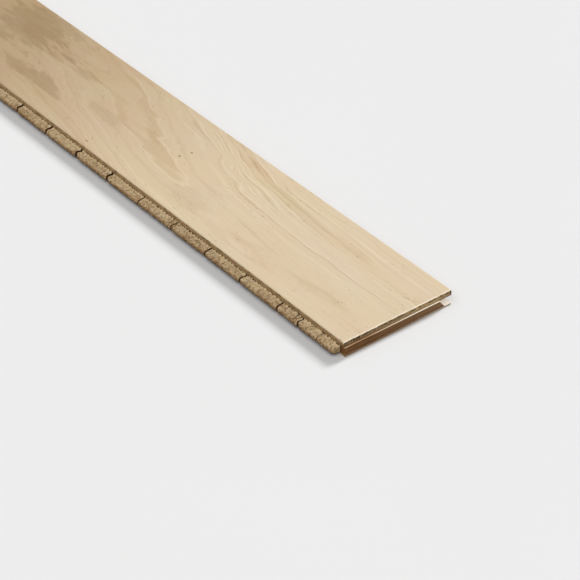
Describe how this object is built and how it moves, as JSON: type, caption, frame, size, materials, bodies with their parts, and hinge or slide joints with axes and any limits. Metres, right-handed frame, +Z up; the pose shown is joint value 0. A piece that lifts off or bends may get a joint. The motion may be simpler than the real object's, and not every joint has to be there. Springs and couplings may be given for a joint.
{
  "type": "engineered floorboard",
  "caption": "Flat oak-faced floorboard built of glued layers, with a tongue along one long side, a groove along the other and a lap at its ends.",
  "frame": {"origin": "middle of the board's box, on the floor that its back veneer lies on", "axes": "+X along the board towards the end where the core laps out under the oak, +Y across it towards the groove, +Z up out of the oak face"},
  "size_m": [1.2022, 0.134, 0.014],
  "materials": {
    "oak_face": "matt lacquered oak",
    "core_slats": "sawn softwood",
    "back_veneer": "peeled softwood"
  },
  "bodies": {
    "root": {"oak_wear_layer": "oak_face", "back_veneer": "back_veneer", "end_slat_near": "core_slats", "filler_slat": "core_slats", "core_slat_01": "core_slats", "core_slat_02": "core_slats", "core_slat_03": "core_slats", "core_slat_04": "core_slats", "core_slat_05": "core_slats", "core_slat_06": "core_slats", "core_slat_07": "core_slats", "core_slat_08": "core_slats", "core_slat_09": "core_slats", "core_slat_10": "core_slats", "core_slat_11": "core_slats", "core_slat_12": "core_slats", "core_slat_13": "core_slats", "core_slat_14": "core_slats", "core_slat_15": "core_slats", "core_slat_16": "core_slats", "core_slat_17": "core_slats", "core_slat_18": "core_slats", "core_slat_19": "core_slats", "core_slat_20": "core_slats", "end_slat_far": "core_slats"}
  },
  "joints": []
}
